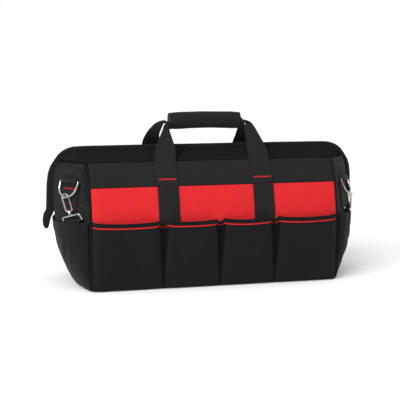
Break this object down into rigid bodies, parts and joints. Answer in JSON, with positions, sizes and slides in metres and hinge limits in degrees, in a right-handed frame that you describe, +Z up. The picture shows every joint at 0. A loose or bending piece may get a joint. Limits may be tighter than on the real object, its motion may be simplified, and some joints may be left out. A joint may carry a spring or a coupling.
{
  "type": "tool bag",
  "caption": "Wide-mouthed fabric tool bag with a flat base, zipped shut, with a padded grip, open pockets all round, rings at both ends and a snap hook.",
  "frame": {"origin": "on the floor, in the middle of the flat base", "axes": "+X along the bag's length, towards the end with the zip pull; the front with the red band faces -Y; +Z up"},
  "size_m": [0.5969, 0.2174, 0.3079],
  "materials": {
    "black_fabric": "coarse plain-woven polyester, matt",
    "red_fabric": "coarse plain-woven polyester, matt",
    "black_webbing": "ribbed woven webbing",
    "black_binding": "fine ribbed binding tape",
    "red_piping": "cloth-covered piping cord",
    "zip_tape": "woven zip tape",
    "grip_cover": "padded woven cover",
    "steel": "bright nickel-plated wire and pressings"
  },
  "bodies": {
    "bag": {"base_panel": "black_fabric", "front_panel": "black_fabric", "back_panel": "black_fabric", "end_panel_left": "black_fabric", "end_panel_right": "black_fabric", "front_sleeve": "black_fabric", "back_sleeve": "black_fabric", "front_upper_panel": "black_fabric", "back_upper_panel": "black_fabric", "red_band": "red_fabric", "front_strip_left": "black_webbing", "front_strip_right": "black_webbing", "back_strip_left": "black_webbing", "back_strip_right": "black_webbing", "front_piping_left": "black_binding", "front_piping_right": "black_binding", "back_piping_left": "black_binding", "back_piping_right": "black_binding", "front_pocket_1": "black_fabric", "front_pocket_2": "black_fabric", "front_pocket_3": "black_fabric", "front_pocket_4": "black_fabric", "pocket_binding_1": "black_binding", "pocket_binding_2": "black_binding", "pocket_binding_3": "black_binding", "pocket_binding_4": "black_binding", "pocket_piping_1": "red_piping", "pocket_piping_2": "red_piping", "pocket_piping_3": "red_piping", "pocket_piping_4": "red_piping", "end_pocket_left": "black_fabric", "end_pocket_right": "black_fabric", "end_hem_left": "black_fabric", "end_hem_right": "black_fabric", "zipper": "zip_tape", "zip_slider": "steel", "front_handle_left": "black_webbing", "front_handle_right": "black_webbing", "back_handle_left": "black_webbing", "back_handle_right": "black_webbing", "handle_grip": "grip_cover", "ring_tab_left": "black_webbing", "ring_tab_right": "black_webbing", "d_ring_left": "steel", "hook_body": "steel", "strap_loop": "steel", "strap_end": "black_webbing"},
    "pull": {"zip_pull": "steel"},
    "right_ring": {"d_ring_right": "steel"},
    "gate": {"hook_gate": "steel"}
  },
  "joints": [
    {"name": "pull_swing", "type": "hinge", "parent": "bag", "child": "pull", "pos_m": [0.29321, 0, 0.1439], "axis": [0, -1, 0], "range_deg": [0, 120]},
    {"name": "ring_swing", "type": "hinge", "parent": "bag", "child": "right_ring", "pos_m": [0.25626, -0.0525, 0.18263], "axis": [-0.5924, -0.8057, 0], "range_deg": [0, 90]},
    {"name": "gate_press", "type": "hinge", "parent": "bag", "child": "gate", "pos_m": [-0.25493, -0.06522, 0.14404], "axis": [0.0986, -0.9022, 0.4199], "range_deg": [0, 15], "stiffness_Nm_per_rad": 0.004, "springref_deg": -8.59}
  ]
}
